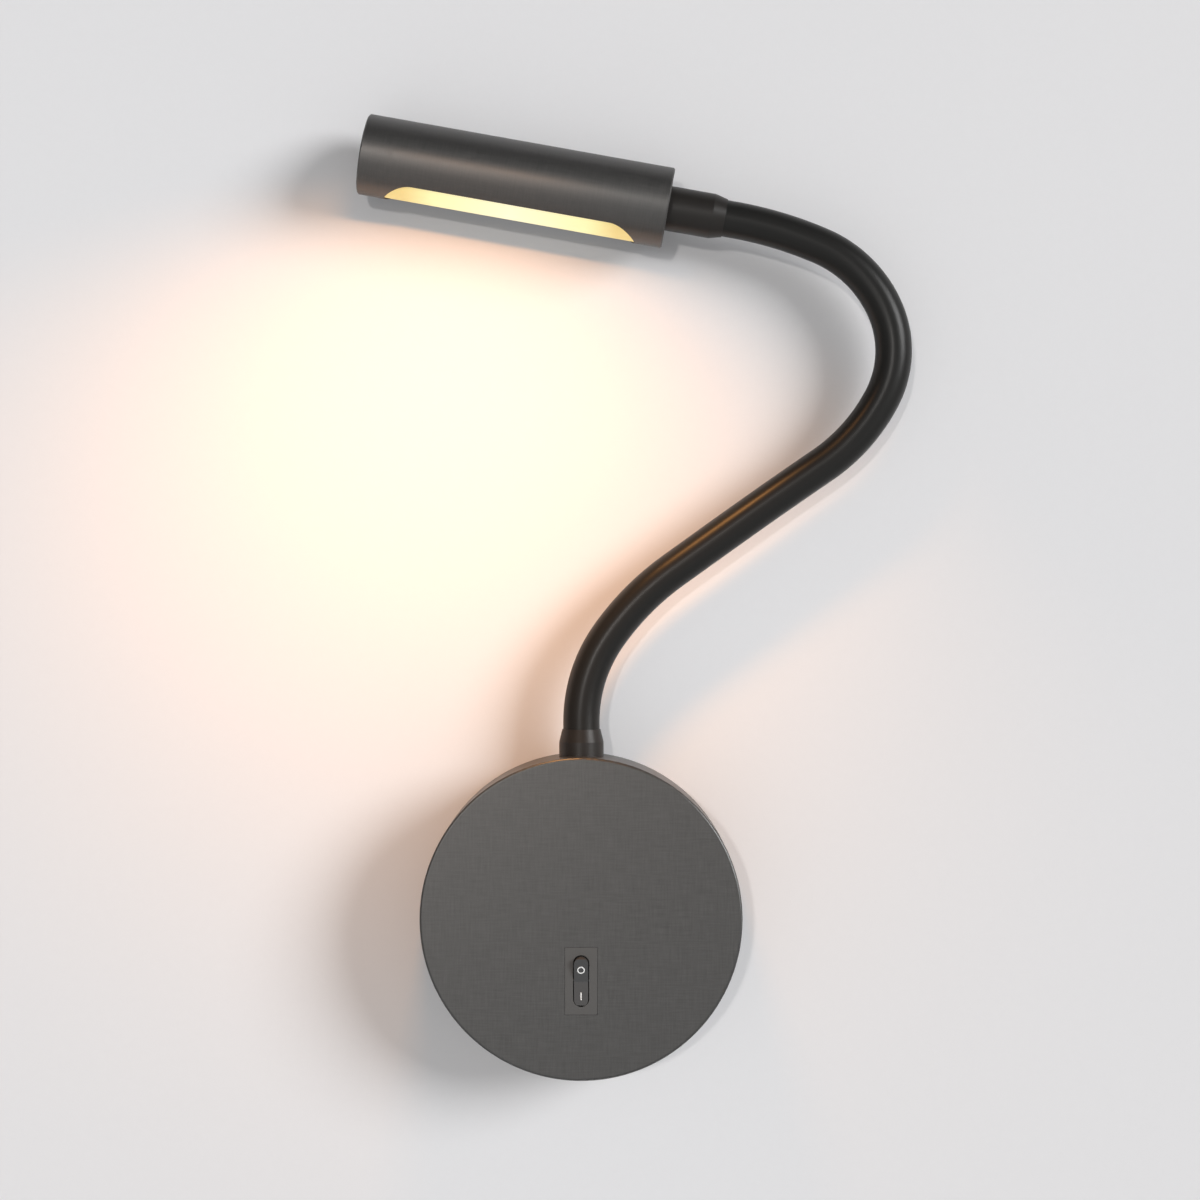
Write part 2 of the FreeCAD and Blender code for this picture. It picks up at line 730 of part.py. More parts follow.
def make_base_leads():
    """From the terminal block to the driver and the switch, and from the switch to the driver."""
    depth = bracket_thickness + block_depth / 2 + (block_port - lead_diameter) / 2 - seat_gap
    start = -block_drop + block_height / 4
    left_pole = block_offset - block_poles_pitch / 2
    right_pole = block_offset + block_poles_pitch / 2
    blade_edge = terminal_width / 2
    upper_blade = -switch_drop + terminal_spacing / 2
    lower_blade = -switch_drop - terminal_spacing / 2
    neutral = bent_lead("neutral_lead", depth, "XY_Plane", (right_pole, -depth), start, [
        (right_pole, start),
        (right_pole, upper_blade + lead_spacing),
        (left_pole, upper_blade + lead_spacing),
        (left_pole, driver_rise),
    ])
    live = bent_lead("live_lead", depth, "XY_Plane", (left_pole, -depth), start, [
        (left_pole, start),
        (left_pole, upper_blade),
        (blade_edge, upper_blade),
    ])
    switched = bent_lead("switched_lead", depth, "YZ_Plane", (-depth, lower_blade), -blade_edge, [
        (-blade_edge, lower_blade),
        (-left_pole, lower_blade),
        (-left_pole, driver_rise),
    ])
    keep("base_leads", combine("Compound", "base_leads", [neutral, live, switched]))


# Neck: fittings turned about the neck's own line, and the links between its joints


def turned(label, frame, points):
    """A body of revolution about the frame's X axis, from places along it and radii."""
    body = new_body(label, frame)
    profile = sketch_on(body, "XY_Plane")
    draw_outline(profile, points)
    revolve(body, profile, "H_Axis")
    return body


def tube(label, frame, start, end, outer, bore):
    return turned(label, frame, [
        (start, bore / 2),
        (end, bore / 2),
        (end, outer / 2),
        (start, outer / 2),
    ])


def hex_nut(label, frame, start, end, bore):
    body = new_body(label, frame)
    face = sketch_on(body, "YZ_Plane", start)
    draw_hexagon(face, ZERO, ZERO, nut_across)
    draw_circle(face, ZERO, ZERO, bore)
    pad(body, face, end - start)
    return body


def cut_dish(body):
    """Hollows the near end of a piece round the joint, clear of the ball that it meets."""
    dish = body.newObject("PartDesign::SubtractiveSphere", f"{body.Label}_dish")
    bind(dish, Radius=dish_radius)


def make_lower_ferrule():
    end = -root_reach
    start = end - lower_ferrule_length
    lip = sleeve_radius + shaft_gap + ferrule_lip
    foot = start - overrun
    step = start + lower_seat
    body = turned("lower_ferrule", root_frame, [
        (foot, nipple_diameter / 2 + shaft_gap),
        (step, nipple_diameter / 2 + shaft_gap),
        (step, sleeve_radius + shaft_gap),
        (end, sleeve_radius + shaft_gap),
        (end, lip),
        (end - ferrule_taper, ferrule_diameter / 2),
        (foot, ferrule_diameter / 2),
    ])
    saddle = body.newObject("PartDesign::SubtractiveCylinder", "lower_ferrule_saddle")
    saddle.Placement = Placement(Vector(), Rotation(Vector(0, 0, 1), Vector(0, 1, 0)))
    bind(saddle, Radius=base_diameter / 2, Height=ferrule_diameter * 2, x=-joint_rise, y=-ferrule_diameter)
    keep("lower_ferrule", body)


def make_lower_fixings():
    seat = joint_rise - root(cover_inner_radius * cover_inner_radius - washer_diameter * washer_diameter / 4)
    washer_low = -seat - washer_thickness
    nut_low = washer_low - nut_thickness
    sleeve_start = -root_reach - lower_ferrule_length + lower_seat
    bore = nipple_diameter + shaft_gap * 2
    keep("neck_washer", tube("neck_washer", root_frame, washer_low, -seat, washer_diameter, bore))
    keep("neck_nut", hex_nut("neck_nut", root_frame, nut_low, washer_low, bore))
    keep("neck_nipple", tube("neck_nipple", root_frame, nut_low - nipple_end, sleeve_start,
                             nipple_diameter, nipple_bore))
    sleeve = tube("neck_root_sleeve", root_frame, sleeve_start, ZERO, sleeve_diameter, sleeve_bore)
    add_ball(sleeve, ZERO, ZERO)
    bore_ball(sleeve, ZERO, ZERO, Vector(1, 0, 0), -sleeve_start)
    keep("neck_root_sleeve", sleeve)
    keep("neck_root_core", tube("neck_root_core", root_frame, sleeve_start, ZERO,
                                core_diameter, core_bore))
    start = -(joint_rise - driver_top)
    keep("driver_output_leads", straight_leads("driver_output_leads", root_frame, start, ZERO))


def add_ball(body, along, side):
    ball = body.newObject("PartDesign::AdditiveSphere", f"{body.Label}_ball")
    bind(ball, Radius=sleeve_radius, x=along, z=side)


def bore_ball(body, along, side, direction, back):
    """Carries the sleeve's bore on through its ball end, from a length behind the ball."""
    bore = body.newObject("PartDesign::SubtractiveCylinder", f"{body.Label}_bore")
    bore.Placement = Placement(Vector(), Rotation(Vector(0, 0, 1), direction))
    bind(bore, Radius=sleeve_bore / 2, Height=sleeve_diameter + back, x=along - back, z=side)


def straight_leads(label, frame, start, end):
    body = new_body(label, frame)
    section = sketch_on(body, "YZ_Plane", start)
    for side in (1, -1):
        draw_circle(section, lead_place * side, ZERO, lead_diameter)
    pad(body, section, end - start)
    return body


def bent(body, turn, circles, kind="Revolution"):
    """Turns circles, given by their place across the neck and diameter, along a link's arc."""
    radius = link_length * (180 / math.pi) / turn
    section = sketch_on(body, "YZ_Plane")
    for across, diameter in circles:
        draw_circle(section, across, ZERO, diameter)
    half = sleeve_radius.value
    line = Part.LineSegment(Vector(-half, radius.value, 0), Vector(half, radius.value, 0))
    index = section.addGeometry(line, True)
    locate(section, index, 1, -sleeve_radius, radius)
    locate(section, index, 2, sleeve_radius, radius)
    feature = revolve(body, section, "Axis0", kind)
    feature.Reversed = turn.value > 0
    return bind(feature, Angle=turn * (1 if turn.value > 0 else -1))


def make_link(number, frame, turn):
    radius = link_length * (180 / math.pi) / turn
    along = radius * sine(turn)
    side = radius * (as_size(1) - cosine(turn))
    sleeve = new_body(f"neck_sleeve_{number}", frame)
    bent(sleeve, turn, [(ZERO, sleeve_diameter)])
    add_ball(sleeve, along, side)
    bent(sleeve, turn, [(ZERO, sleeve_bore)], "Groove")
    bore_ball(sleeve, along, side, Vector(cosine(turn).value, 0, sine(turn).value), ZERO)
    cut_dish(sleeve)
    keep(f"neck_sleeve_{number}", sleeve)
    core = new_body(f"neck_core_{number}", frame)
    bent(core, turn, [(ZERO, core_diameter), (ZERO, core_bore)])
    cut_dish(core)
    keep(f"neck_core_{number}", core)
    leads = new_body(f"neck_leads_{number}", frame)
    bent(leads, turn, [(lead_place, lead_diameter), (-lead_place, lead_diameter)])
    cut_dish(leads)
    keep(f"neck_leads_{number}", leads)


# Lamp head, in the frame of the last joint: X runs to the free end and +Z is the light's side


def make_head_fittings():
    end = head_start
    lip = sleeve_radius + shaft_gap + ferrule_lip
    step = end - upper_seat
    keep("upper_ferrule", turned("upper_ferrule", tip_frame, [
        (tip_reach, sleeve_radius + shaft_gap),
        (step, sleeve_radius + shaft_gap),
        (step, nipple_diameter / 2 + shaft_gap),
        (end, nipple_diameter / 2 + shaft_gap),
        (end, ferrule_diameter / 2),
        (tip_reach + ferrule_taper, ferrule_diameter / 2),
        (tip_reach, lip),
    ]))
    sleeve = tube("neck_tip_sleeve", tip_frame, ZERO, step, sleeve_diameter, sleeve_bore)
    cut_dish(sleeve)
    keep("neck_tip_sleeve", sleeve)
    core = tube("neck_tip_core", tip_frame, ZERO, step, core_diameter, core_bore)
    cut_dish(core)
    keep("neck_tip_core", core)
    bore = nipple_diameter + shaft_gap * 2
    nut_start = end + cap_thickness
    nut_end = nut_start + nut_thickness
    keep("head_nipple", tube("head_nipple", tip_frame, step, nut_end + nipple_end,
                             nipple_diameter, nipple_bore))
    keep("head_nut", hex_nut("head_nut", tip_frame, nut_start, nut_end, bore))
    lead_end = head_start + (head_length - chip_pitch * (chip_count - 1) - chip_length) / 2 - overrun
    leads = straight_leads("head_leads", tip_frame, ZERO, lead_end)
    cut_dish(leads)
    keep("head_leads", leads)


def make_head_tube():
    body = new_body("head_tube", tip_frame)
    start = head_start + cap_thickness
    section = sketch_on(body, "YZ_Plane", start)
    draw_circle(section, ZERO, ZERO, head_diameter)
    draw_circle(section, ZERO, ZERO, head_inner_radius * 2)
    pad(body, section, head_length - cap_thickness * 2)
    window = sketch_on(body, "XY_Plane")
    draw_obround(window, head_middle(), ZERO, window_length, window_width)
    pocket(body, window, head_diameter, backwards=True)
    keep("head_tube", body)


def head_middle():
    return head_start + head_length / 2


def make_end_cap(label, outer_face, inner_face, way, hole):
    """A disc flush with the tube, chamfered outside, with a ring spigot inside it."""
    spigot = head_inner_radius - seat_gap
    rim = head_diameter / 2
    points = [
        (outer_face, hole),
        (outer_face, rim - cap_chamfer),
        (outer_face + cap_chamfer * way, rim),
        (inner_face, rim),
        (inner_face, spigot),
        (inner_face + cap_spigot * way, spigot),
        (inner_face + cap_spigot * way, spigot - cap_spigot_wall),
        (inner_face, spigot - cap_spigot_wall),
        (inner_face, hole),
    ]
    keep(label, turned(label, tip_frame, points))


def make_end_caps():
    far = head_start + head_length
    make_end_cap("neck_end_cap", head_start, head_start + cap_thickness, 1, nipple_diameter / 2 + shaft_gap)
    make_end_cap("free_end_cap", far, far - cap_thickness, -1, ZERO)


def make_led_carrier():
    """An extruded heat sink that fills the tube's back, with fins towards the tube."""
    body = new_body("led_carrier", tip_frame)
    radius = head_inner_radius - seat_gap
    start = head_middle() - carrier_length / 2
    section = sketch_on(body, "YZ_Plane", start)
    draw_circle(section, ZERO, ZERO, radius * 2)
    pad(body, section, carrier_length)
    below = sketch_on(body, "YZ_Plane", start)
    draw_rectangle(below, ZERO, radius - carrier_chord, radius * 2 + overrun, radius * 2)
    pocket(body, below, carrier_length, backwards=True)
    grooves = sketch_on(body, "YZ_Plane", start)
    depth = radius - carrier_chord - carrier_fin * 2
    for step in (-2, -1, 0, 1, 2):
        draw_rectangle(grooves, carrier_fin * step * 2, -(radius - depth / 2 + overrun / 2),
                       carrier_fin, depth + overrun)
    pocket(body, grooves, carrier_length, backwards=True)
    keep("led_carrier", body)


def make_led_board():
    body = new_body("led_board", tip_frame)
    face = sketch_on(body, "XY_Plane", -carrier_chord)
    draw_rectangle(face, head_middle(), ZERO, carrier_length, board_width)
    pad(body, face, board_thickness)
    keep("led_board", body)


def make_led_chips():
    body = new_body("led_chips", tip_frame)
    first = head_middle() - chip_pitch * (chip_count - 1) / 2
    face = sketch_on(body, "XY_Plane", -carrier_chord + board_thickness)
    for step in range(chip_count):
        draw_rectangle(face, first + chip_pitch * step, ZERO, chip_length, chip_width)
    pad(body, face, chip_height)
    keep("led_chips", body)


def make_diffuser():
    """A half pipe inside the tube with an obround land that fills the window."""
    shell = new_body("diffuser_shell")
    outer = head_inner_radius - seat_gap
    start = head_middle() - diffuser_length / 2
    ring = sketch_on(shell, "YZ_Plane", start)
    draw_circle(ring, ZERO, ZERO, outer * 2)
    pad(shell, ring, diffuser_length)
    land = new_body("diffuser_land")
    plan = sketch_on(land, "XY_Plane")
    draw_obround(plan, head_middle(), ZERO, window_length - seat_gap * 2, window_width - seat_gap * 2)
    pad(land, plan, head_diameter)
    limit = new_body("diffuser_limit")
    round_face = sketch_on(limit, "YZ_Plane", start)
    draw_circle(round_face, ZERO, ZERO, head_diameter - diffuser_recess * 2)
    pad(limit, round_face, diffuser_length)
    lens = combine("MultiCommon", "diffuser_lens", [land, limit])
    solid = combine("MultiFuse", "diffuser_solid", [shell, lens])
    hollow = new_body("diffuser_hollow")
    inside = sketch_on(hollow, "YZ_Plane", start - overrun)
    draw_circle(inside, ZERO, ZERO, (outer - diffuser_wall) * 2)
    pad(hollow, inside, diffuser_length + overrun * 2)
    above = new_body("diffuser_top")
    back = sketch_on(above, "YZ_Plane", start - overrun)
    back_middle = -(head_diameter / 2 + carrier_chord - moving_gap)
    draw_rectangle(back, ZERO, back_middle, head_diameter, head_diameter)
    pad(above, back, diffuser_length + overrun * 2)
    waste = combine("MultiFuse", "diffuser_waste", [hollow, above])
    whole = combine("Cut", "diffuser", [solid, waste])
    whole.Placement = tip_frame
    keep("diffuser", whole)


make_base_cover()
make_wall_bracket()
make_cable_grommet()
make_grub_screws()
make_switch_housing()
make_rocker()
make_switch_terminals()
make_led_driver()
make_driver_screws()
make_terminal_block()
make_terminal_block_screws()
make_base_leads()
make_lower_ferrule()
make_lower_fixings()
for link_number, link_turn in enumerate(link_turns, 1):
    make_link(link_number, joints[link_number - 1], link_turn)
make_head_fittings()
make_head_tube()
make_end_caps()
make_led_carrier()
make_led_board()
make_led_chips()
make_diffuser()

document.recompute()
for thing in document.Objects:
    if "Invalid" in thing.State or "Error" in thing.State:
        raise RuntimeError(f"{thing.Label} did not build")
for node, thing in parts.items():
    if thing.Shape.isNull() or not thing.Shape.isValid():
        raise RuntimeError(f"{node} has no valid shape")

os.makedirs("parts", exist_ok=True)
for node, thing in parts.items():
    thing.Shape.exportStep(f"parts/{node}.step")
    solids = thing.Shape.Solids
    print(f"{node}: {len(solids)} solid, {thing.Shape.Volume:.0f} mm3")
for frame in joints:
    print([round(value, 3) for value in frame.Base])
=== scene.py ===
import json
import math

import bmesh
import bpy
from mathutils import Matrix, Vector


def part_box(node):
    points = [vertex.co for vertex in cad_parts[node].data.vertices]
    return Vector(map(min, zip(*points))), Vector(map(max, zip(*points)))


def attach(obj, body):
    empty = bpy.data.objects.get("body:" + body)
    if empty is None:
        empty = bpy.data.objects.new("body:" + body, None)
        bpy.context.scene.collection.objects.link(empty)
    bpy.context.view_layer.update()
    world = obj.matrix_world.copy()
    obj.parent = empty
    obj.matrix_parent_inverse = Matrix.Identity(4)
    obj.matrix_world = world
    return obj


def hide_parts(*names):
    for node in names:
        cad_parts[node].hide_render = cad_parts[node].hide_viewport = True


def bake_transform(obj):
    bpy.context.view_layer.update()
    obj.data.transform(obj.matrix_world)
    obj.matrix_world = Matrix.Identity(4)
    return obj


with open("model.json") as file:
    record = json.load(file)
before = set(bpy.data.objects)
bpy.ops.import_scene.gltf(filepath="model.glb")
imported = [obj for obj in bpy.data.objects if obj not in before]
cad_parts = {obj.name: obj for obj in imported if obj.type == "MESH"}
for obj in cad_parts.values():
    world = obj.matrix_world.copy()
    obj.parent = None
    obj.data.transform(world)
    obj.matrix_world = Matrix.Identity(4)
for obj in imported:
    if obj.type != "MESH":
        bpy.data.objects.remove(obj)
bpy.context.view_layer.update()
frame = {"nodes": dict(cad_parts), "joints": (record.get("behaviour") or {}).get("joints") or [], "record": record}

# Wall sconce, dressed for the photograph's view. Metres, in the frame of the CAD part:
# the wall is the plane y = 0, +Z is up, +X is right and the front faces -Y.

MM = 0.001
scene = bpy.context.scene
nodes = frame["nodes"]
joints = {joint["name"]: joint for joint in frame["joints"]}
record = frame["record"]


# The neck's line, through the places of its joints

NECK_JOINTS = [joint for joint in frame["joints"] if joint["name"] != "switch_rocker"]
NECK_POINTS = [Vector(joint["pos_m"]) for joint in NECK_JOINTS]
UPRIGHT = math.pi / 2
FORWARD = Vector((0, -1, 0))
SLEEVE_RADIUS = (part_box("neck_root_sleeve")[1].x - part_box("neck_root_sleeve")[0].x) / 2
NEARLY_STRAIGHT = 1e-6


def along(angle):
    return Vector((math.cos(angle), 0, math.sin(angle)))


def across(angle):
    return Vector((-math.sin(angle), 0, math.cos(angle)))


def reach(node, origin, direction):
    """How far a CAD node goes from a point in a direction."""
    return max((vertex.co - origin).dot(direction) for vertex in nodes[node].data.vertices)


class Arc:
    """A stretch of the neck's line that leaves a point at an angle and ends at another point."""

    def __init__(self, start, angle, end):
        chord = end - start
        half_turn = math.remainder(math.atan2(chord.z, chord.x) - angle, 2 * math.pi)
        straight = abs(half_turn) <= NEARLY_STRAIGHT
        self.start, self.angle, self.turn = start, angle, half_turn * 2
        self.length = chord.length * (1 if straight else half_turn / math.sin(half_turn))

    def at(self, share):
        """The point and the direction at a share of the stretch."""
        half = self.turn * share / 2
        straight = abs(half) <= NEARLY_STRAIGHT
        chord = self.length * share * (1 if straight else math.sin(half) / half)
        return self.start + along(self.angle + half) * chord, self.angle + half * 2


def neck_arcs():
    """The straight root, the eight links and the straight tip."""
    first = NECK_POINTS[0]
    root = first - along(UPRIGHT) * reach("neck_root_sleeve", first, -along(UPRIGHT))
    arcs = [Arc(root, UPRIGHT, first)]
    angle = UPRIGHT
    for start, end in zip(NECK_POINTS, NECK_POINTS[1:]):
        arcs.append(Arc(start, angle, end))
        angle = arcs[-1].at(1)[1]
    tip = NECK_POINTS[-1]
    tip_length = reach("neck_tip_sleeve", tip, along(angle))
    arcs.append(Arc(tip, angle, tip + along(angle) * tip_length))
    return arcs


NECK_ARCS = neck_arcs()
TIP, HEAD_ANGLE = NECK_ARCS[-1].at(0)
HEAD_START = -reach("neck_end_cap", TIP, -along(HEAD_ANGLE))
HEAD_END = reach("free_end_cap", TIP, along(HEAD_ANGLE))
HEAD_MIDDLE = TIP + along(HEAD_ANGLE) * (HEAD_START + HEAD_END) / 2
HEAD_LENGTH = HEAD_END - HEAD_START
WINDOW_WAY = across(HEAD_ANGLE)


# Materials


def node_maker(tree):
    def add(kind, inputs=(), **settings):
        node = tree.nodes.new(kind)
        for name, value in settings.items():
            setattr(node, name, value)
        for key, value in dict(inputs).items():
            node.inputs[key].default_value = value
        return node

    return add


def shade(colour, share):
    return (*(min(1.0, channel * share) for channel in colour), 1.0)


# A Mix node's sockets for colours
MIX_A, MIX_B, MIX_RESULT = 6, 7, 2
NOISE_DETAIL, NOISE_ROUGHNESS = 3, 0.55
# Most of the noise lies between these values
NOISE_LOW, NOISE_HIGH = 0.3, 0.7


def finish(name, colour, roughness, grains, metallic=0.0, tone=0.05, rough_spread=0.05, bump=0.2,
           relief_depth=0.03 * MM, specular=0.5, turn=0.0, place="Object"):
    """A surface whose tone, gloss and relief follow noise of the grain sizes given, in metres."""
    made = bpy.data.materials.new(name)
    made.use_nodes = True
    tree = made.node_tree
    add, link = node_maker(tree), tree.links.new
    shader = tree.nodes["Principled BSDF"]
    shader.inputs["Metallic"].default_value = metallic
    shader.inputs["Specular IOR Level"].default_value = specular
    if place == "Object":
        source = add("ShaderNodeTexCoord").outputs["Object"]
    else:
        source = add("ShaderNodeAttribute", attribute_name=place).outputs["Vector"]
    total = None
    for size, weight in grains:
        mapping = add("ShaderNodeMapping", {"Scale": size, "Rotation": (0, turn, 0)},
                      vector_type="TEXTURE")
        noise = add("ShaderNodeTexNoise",
                    {"Scale": 1, "Detail": NOISE_DETAIL, "Roughness": NOISE_ROUGHNESS})
        weigh = add("ShaderNodeMath", {1: weight, 2: 0}, operation="MULTIPLY_ADD")
        link(source, mapping.inputs["Vector"])
        link(mapping.outputs["Vector"], noise.inputs["Vector"])
        link(noise.outputs["Fac"], weigh.inputs[0])
        if total:
            link(total, weigh.inputs[2])
        total = weigh.outputs["Value"]
    level = add("ShaderNodeMapRange", {"From Min": NOISE_LOW, "From Max": NOISE_HIGH})
    tones = add("ShaderNodeMix", {MIX_A: shade(colour, 1 - tone), MIX_B: shade(colour, 1 + tone)},
                data_type="RGBA")
    gloss = add("ShaderNodeMapRange", {"From Min": NOISE_LOW, "From Max": NOISE_HIGH,
                                       "To Min": roughness - rough_spread,
                                       "To Max": roughness + rough_spread})
    relief = add("ShaderNodeBump", {"Strength": bump, "Distance": relief_depth})
    link(total, level.inputs["Value"])
    link(level.outputs["Result"], tones.inputs["Factor"])
    link(tones.outputs[MIX_RESULT], shader.inputs["Base Color"])
    link(total, gloss.inputs["Value"])
    link(gloss.outputs["Result"], shader.inputs["Roughness"])
    link(total, relief.inputs["Height"])
    link(relief.outputs["Normal"], shader.inputs["Normal"])
    return made


def grain(x, y, z):
    return (x * MM, y * MM, z * MM)


# Fine threads that cross, as on linen: long and thin one way and the other
LINEN = [(grain(0.5, 0.5, 7), 0.4), (grain(7, 0.5, 0.5), 0.4), (grain(0.35, 0.35, 0.35), 0.2)]
FINE = [(grain(0.4, 0.4, 0.4), 0.6), (grain(3, 3, 3), 0.4)]
MOULDED = [(grain(0.25, 0.25, 0.25), 0.7), (grain(4, 4, 4), 0.3)]
BRUSHED_ALONG = [(grain(9, 0.25, 0.25), 0.6), (grain(0.4, 0.4, 0.4), 0.4)]
# The same threads on the tube, mostly round it
TURNED = [(grain(0.4, 5, 5), 0.5), (grain(7, 0.5, 0.5), 0.25), (grain(0.35, 0.35, 0.35), 0.25)]
DRAWN_SLEEVE = [(grain(0.3, 0.3, 16), 0.5), (grain(0.5, 0.5, 0.5), 0.5)]
# Turns a grain's X into line with the tube
TUBE_TURN = math.pi - HEAD_ANGLE

MATERIALS = {
    "base_metal": finish("base_metal", (0.094, 0.0935, 0.0925), 0.39, LINEN, tone=0.18,
                         metallic=0.8),
    "head_metal": finish("head_metal", (0.108, 0.1055, 0.103), 0.42, TURNED, tone=0.12,
                         rough_spread=0.09, metallic=0.8, turn=TUBE_TURN),
    "switch_plastic": finish("switch_plastic", (0.072, 0.072, 0.071), 0.5, MOULDED),
    "rocker_plastic": finish("rocker_plastic", (0.052, 0.052, 0.053), 0.42, MOULDED),
    "ferrule_black": finish("ferrule_black", (0.0165, 0.0145, 0.013), 0.4, MOULDED, specular=0.3),
    "sleeve_rubber": finish("sleeve_rubber", (0.0135, 0.0132, 0.0125), 0.34, DRAWN_SLEEVE,
                            tone=0.08, specular=0.22, place="sleeve_place"),
    "bracket_steel": finish("bracket_steel", (0.6, 0.61, 0.62), 0.38, FINE, metallic=0.85),
    "steel": finish("steel", (0.55, 0.55, 0.56), 0.34, FINE, metallic=1.0),
    "core_steel": finish("core_steel", (0.5, 0.5, 0.5), 0.4, FINE, metallic=1.0),
    "terminal_steel": finish("terminal_steel", (0.6, 0.6, 0.6), 0.35, FINE, metallic=1.0),
    "terminal_brass": finish("terminal_brass", (0.72, 0.56, 0.26), 0.32, FINE, metallic=1.0),
    "carrier_aluminium": finish("carrier_aluminium", (0.72, 0.73, 0.74), 0.4, BRUSHED_ALONG,
                                metallic=1.0, turn=TUBE_TURN),
    "grommet_rubber": finish("grommet_rubber", (0.03, 0.03, 0.03), 0.65, MOULDED),
    "driver_plastic": finish("driver_plastic", (0.75, 0.75, 0.73), 0.45, MOULDED, tone=0.03),
    "block_plastic": finish("block_plastic", (0.8, 0.8, 0.76), 0.5, MOULDED, tone=0.03),
    "lead_insulation": finish("lead_insulation", (0.55, 0.06, 0.04), 0.45, FINE),
    "board_white": finish("board_white", (0.85, 0.85, 0.83), 0.4, FINE, tone=0.03),
    "chip_yellow": finish("chip_yellow", (0.9, 0.72, 0.2), 0.35, FINE),
    "mark_paint": finish("mark_paint", (0.92, 0.92, 0.91), 0.5, FINE, tone=0.04),
}


# The window's glow at the tube's middle, between and near its ends, as shares of its half length
FROST_MIDDLE = (1.0, 1.0, 0.72, 1)
FROST_BETWEEN, BETWEEN_SHARE = (1.0, 0.93, 0.47, 1), 0.5
FROST_END, END_SHARE = (0.72, 0.51, 0.14, 1), 0.7
FROST_STRENGTH = 0.7


def lit_frost():
    """Frosted plastic with the light board's glow behind it, strongest at the tube's middle."""
    made = finish("diffuser_frost", (0.5, 0.45, 0.24), 0.45, FINE, tone=0.03)
    tree = made.node_tree
    add, link = node_maker(tree), tree.links.new
    shader = tree.nodes["Principled BSDF"]
    place = add("ShaderNodeTexCoord")
    shift = add("ShaderNodeVectorMath", {1: HEAD_MIDDLE}, operation="SUBTRACT")
    run = add("ShaderNodeVectorMath", {1: along(HEAD_ANGLE)}, operation="DOT_PRODUCT")
    from_middle = add("ShaderNodeMath", operation="ABSOLUTE")
    share = add("ShaderNodeMapRange", {"From Min": 0, "From Max": HEAD_LENGTH / 2})
    glow = add("ShaderNodeValToRGB")
    stops = glow.color_ramp.elements
    stops[0].position, stops[0].color = 0.0, FROST_MIDDLE
    stops[1].position, stops[1].color = END_SHARE, FROST_END
    stops.new(BETWEEN_SHARE).color = FROST_BETWEEN
    link(place.outputs["Object"], shift.inputs[0])
    link(shift.outputs["Vector"], run.inputs[0])
    link(run.outputs["Value"], from_middle.inputs[0])
    link(from_middle.outputs["Value"], share.inputs["Value"])
    link(share.outputs["Result"], glow.inputs["Fac"])
    link(glow.outputs["Color"], shader.inputs["Emission Color"])
    shader.inputs["Emission Strength"].default_value = FROST_STRENGTH
    return made


MATERIALS["diffuser_frost"] = lit_frost()


def paint(thing, material):
    if not thing.data.materials:
        thing.data.materials.append(material)
    for slot in thing.material_slots:
        slot.material = material


for part in record["subparts"]:
    paint(nodes[part["node"]], MATERIALS[part["material_slot"]])
# The window only looks bright: the lamp in front of the head lights the wall for it
nodes["diffuser"].visible_diffuse = False


# Neck sleeve: one smooth rubber skin, cut in the middle of each link, so that each piece holds one joint

RING_POINTS = 64
RING_SPACING = 0.5 * MM
SKIN_WALL = 0.7 * MM


def stretch(arc, first, last):
    """Points, directions and lengths along part of an arc, one for each ring of the skin."""
    length = arc.length * (last - first)
    count = max(2, round(length / RING_SPACING))
    return [(*arc.at(first + (last - first) * step / count), length * step / count)
            for step in range(count + 1)]


def skin_piece(name, stations):
    """A tube with an inside and closed ends round the stations."""
    mesh = bpy.data.meshes.new(name)
    work = bmesh.new()
    place = work.verts.layers.float_vector.new("sleeve_place")
    shells = []
    for radius in (SLEEVE_RADIUS, SLEEVE_RADIUS - SKIN_WALL):
        rings = []
        for point, angle, run in stations:
            ring = []
            for step in range(RING_POINTS):
                turn = 2 * math.pi * step / RING_POINTS
                side, back = radius * math.cos(turn), radius * math.sin(turn)
                vertex = work.verts.new(point + across(angle) * side + Vector((0, back, 0)))
                vertex[place] = (side, back, run)
                ring.append(vertex)
            rings.append(ring)
        shells.append(rings)
    for rings in shells:
        for low, high in zip(rings, rings[1:]):
            for step in range(RING_POINTS):
                ahead = (step + 1) % RING_POINTS
                work.faces.new((low[step], low[ahead], high[ahead], high[step])).smooth = True
    for end in (0, -1):
        outer, inner = shells[0][end], shells[1][end]
        for step in range(RING_POINTS):
            ahead = (step + 1) % RING_POINTS
            work.faces.new((outer[step], outer[ahead], inner[ahead], inner[step]))
    bmesh.ops.recalc_face_normals(work, faces=work.faces)
    for edge in work.edges:
        edge.smooth = all(face.smooth for face in edge.link_faces)
    work.to_mesh(mesh)
    work.free()
    skin = bpy.data.objects.new(name, mesh)
    scene.collection.objects.link(skin)
    paint(skin, MATERIALS["sleeve_rubber"])
    return skin


def dress_neck():
    run = 0.0
    last = len(NECK_JOINTS) - 1
    for number, joint in enumerate(NECK_JOINTS):
        before, after = NECK_ARCS[number], NECK_ARCS[number + 1]
        first_half = stretch(before, 0 if number == 0 else 0.5, 1)
        second_half = stretch(after, 0, 1 if number == last else 0.5)
        stations = [(point, angle, run + here) for point, angle, here in first_half]
        run = stations[-1][2]
        stations += [(point, angle, run + here) for point, angle, here in second_half[1:]]
        run = stations[-1][2]
        skin = skin_piece(f"neck_skin_{number + 1}", stations)
        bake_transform(skin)
        if number == 0:
            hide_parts("neck_root_sleeve")
        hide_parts("neck_tip_sleeve" if number == last else f"neck_sleeve_{number + 1}")


dress_neck()


# Switch: the ring and the bar painted on the rocker

